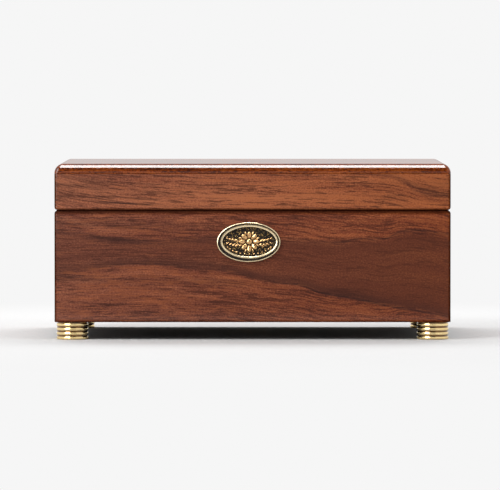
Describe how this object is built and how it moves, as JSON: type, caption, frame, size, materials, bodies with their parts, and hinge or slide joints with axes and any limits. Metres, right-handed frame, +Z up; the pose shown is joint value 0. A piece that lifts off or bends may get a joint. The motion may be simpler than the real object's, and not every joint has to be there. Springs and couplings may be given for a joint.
{
  "type": "wooden music box",
  "caption": "Walnut box on turned brass feet with a hinged lid, an oval badge, a key-wound cylinder movement under a glass pane and a lined keepsake compartment.",
  "frame": {"origin": "on the floor, under the middle of the whole object's box", "axes": "+X to the right of someone who faces the badge, +Y to the back where the hinges are, +Z up"},
  "size_m": [0.2, 0.1482, 0.0889],
  "materials": {
    "walnut": "satin lacquered walnut",
    "plywood": "bare birch plywood",
    "velvet": "deep red velvet",
    "glass": "clear sheet glass",
    "cast_frame": "die-cast and lightly sanded",
    "steel": "ground steel",
    "badge_metal": "pressed brass with a dark stippled field",
    "foot_brass": "turned and polished brass",
    "brass": "polished brass"
  },
  "bodies": {
    "case": {"badge": "badge_metal", "barrel_bridge": "brass", "bedplate": "cast_frame", "bottom_board": "plywood", "case_back": "walnut", "case_front": "walnut", "case_left": "walnut", "case_right": "walnut", "comb": "steel", "comb_screw_1": "steel", "comb_screw_2": "steel", "divider": "walnut", "foot_back_left": "foot_brass", "foot_back_right": "foot_brass", "foot_front_left": "foot_brass", "foot_front_right": "foot_brass", "glass_pane": "glass", "governor_frame": "cast_frame", "left_bearing": "cast_frame", "left_hinge_case_screw_1": "brass", "left_hinge_case_screw_2": "brass", "left_hinge_lower_leaf": "brass", "left_hinge_pin": "brass", "movement_screw_1": "steel", "movement_screw_2": "steel", "movement_screw_3": "steel", "pane_ledge_left": "walnut", "pane_ledge_right": "walnut", "right_bearing": "cast_frame", "right_hinge_case_screw_1": "brass", "right_hinge_case_screw_2": "brass", "right_hinge_lower_leaf": "brass", "right_hinge_pin": "brass", "tray_lining": "velvet"},
    "lid": {"left_hinge_lid_screw_1": "brass", "left_hinge_lid_screw_2": "brass", "left_hinge_upper_leaf": "brass", "lid_back": "walnut", "lid_front": "walnut", "lid_left": "walnut", "lid_lining": "velvet", "lid_right": "walnut", "lid_top": "walnut", "right_hinge_lid_screw_1": "brass", "right_hinge_lid_screw_2": "brass", "right_hinge_upper_leaf": "brass"},
    "winding": {"winding_arbor": "steel", "winding_key": "brass", "ratchet_wheel": "steel"},
    "click": {"click": "steel"},
    "barrel": {"spring_barrel": "brass", "mainspring": "steel"},
    "cylinder": {"cylinder": "brass", "cylinder_arbor": "steel", "cylinder_wheel": "brass"},
    "idler": {"idler_wheel": "brass"},
    "governor": {"governor_worm": "steel", "governor_fan": "brass"},
    "stop_lever": {"stop_lever": "steel"},
    "stop_rod": {"stop_rod": "steel"}
  },
  "joints": [
    {"name": "lid_hinge", "type": "hinge", "parent": "case", "child": "lid", "pos_m": [0, 0.0712, 0.06538], "axis": [-1, 0, 0], "range_deg": [0, 98]},
    {"name": "key_turn", "type": "hinge", "parent": "case", "child": "winding", "pos_m": [0.006, 0.0022, 0.027], "axis": [0, 0, 1], "continuous": true},
    {"name": "click_lift", "type": "hinge", "parent": "case", "child": "click", "pos_m": [0.00389, 0.01479, 0.0435], "axis": [0, 0, -1], "range_deg": [0, 10], "stiffness_Nm_per_rad": 0.005},
    {"name": "cylinder_turn", "type": "hinge", "parent": "case", "child": "cylinder", "pos_m": [-0.0415, 0.0022, 0.04598], "axis": [1, 0, 0], "continuous": true},
    {"name": "barrel_turn", "type": "hinge", "parent": "case", "child": "barrel", "pos_m": [0.006, 0.0022, 0.027], "axis": [0, 0, 1], "continuous": true},
    {"name": "idler_turn", "type": "hinge", "parent": "case", "child": "idler", "pos_m": [-0.0746, 0.0142, 0.04598], "axis": [1, 0, 0], "continuous": true},
    {"name": "governor_turn", "type": "hinge", "parent": "case", "child": "governor", "pos_m": [-0.0746, 0.0222, 0.04598], "axis": [0, 0, 1], "continuous": true},
    {"name": "stop_rod_slide", "type": "slide", "parent": "case", "child": "stop_rod", "axis": [0, 0, 1], "range_m": [0, 0.003]},
    {"name": "stop_lever_turn", "type": "hinge", "parent": "case", "child": "stop_lever", "pos_m": [-0.08155, 0.0222, 0.0305], "axis": [1, 0, 0], "range_deg": [0, 8.02]}
  ],
  "couplings": [
    {"joint": "barrel_turn", "follows": "cylinder_turn", "ratio": -0.33333},
    {"joint": "idler_turn", "follows": "cylinder_turn", "ratio": -3},
    {"joint": "governor_turn", "follows": "cylinder_turn", "ratio": 36},
    {"joint": "stop_rod_slide", "follows": "lid_hinge", "m_per_rad": 0.001754},
    {"joint": "stop_lever_turn", "follows": "lid_hinge", "ratio": 0.081847}
  ]
}
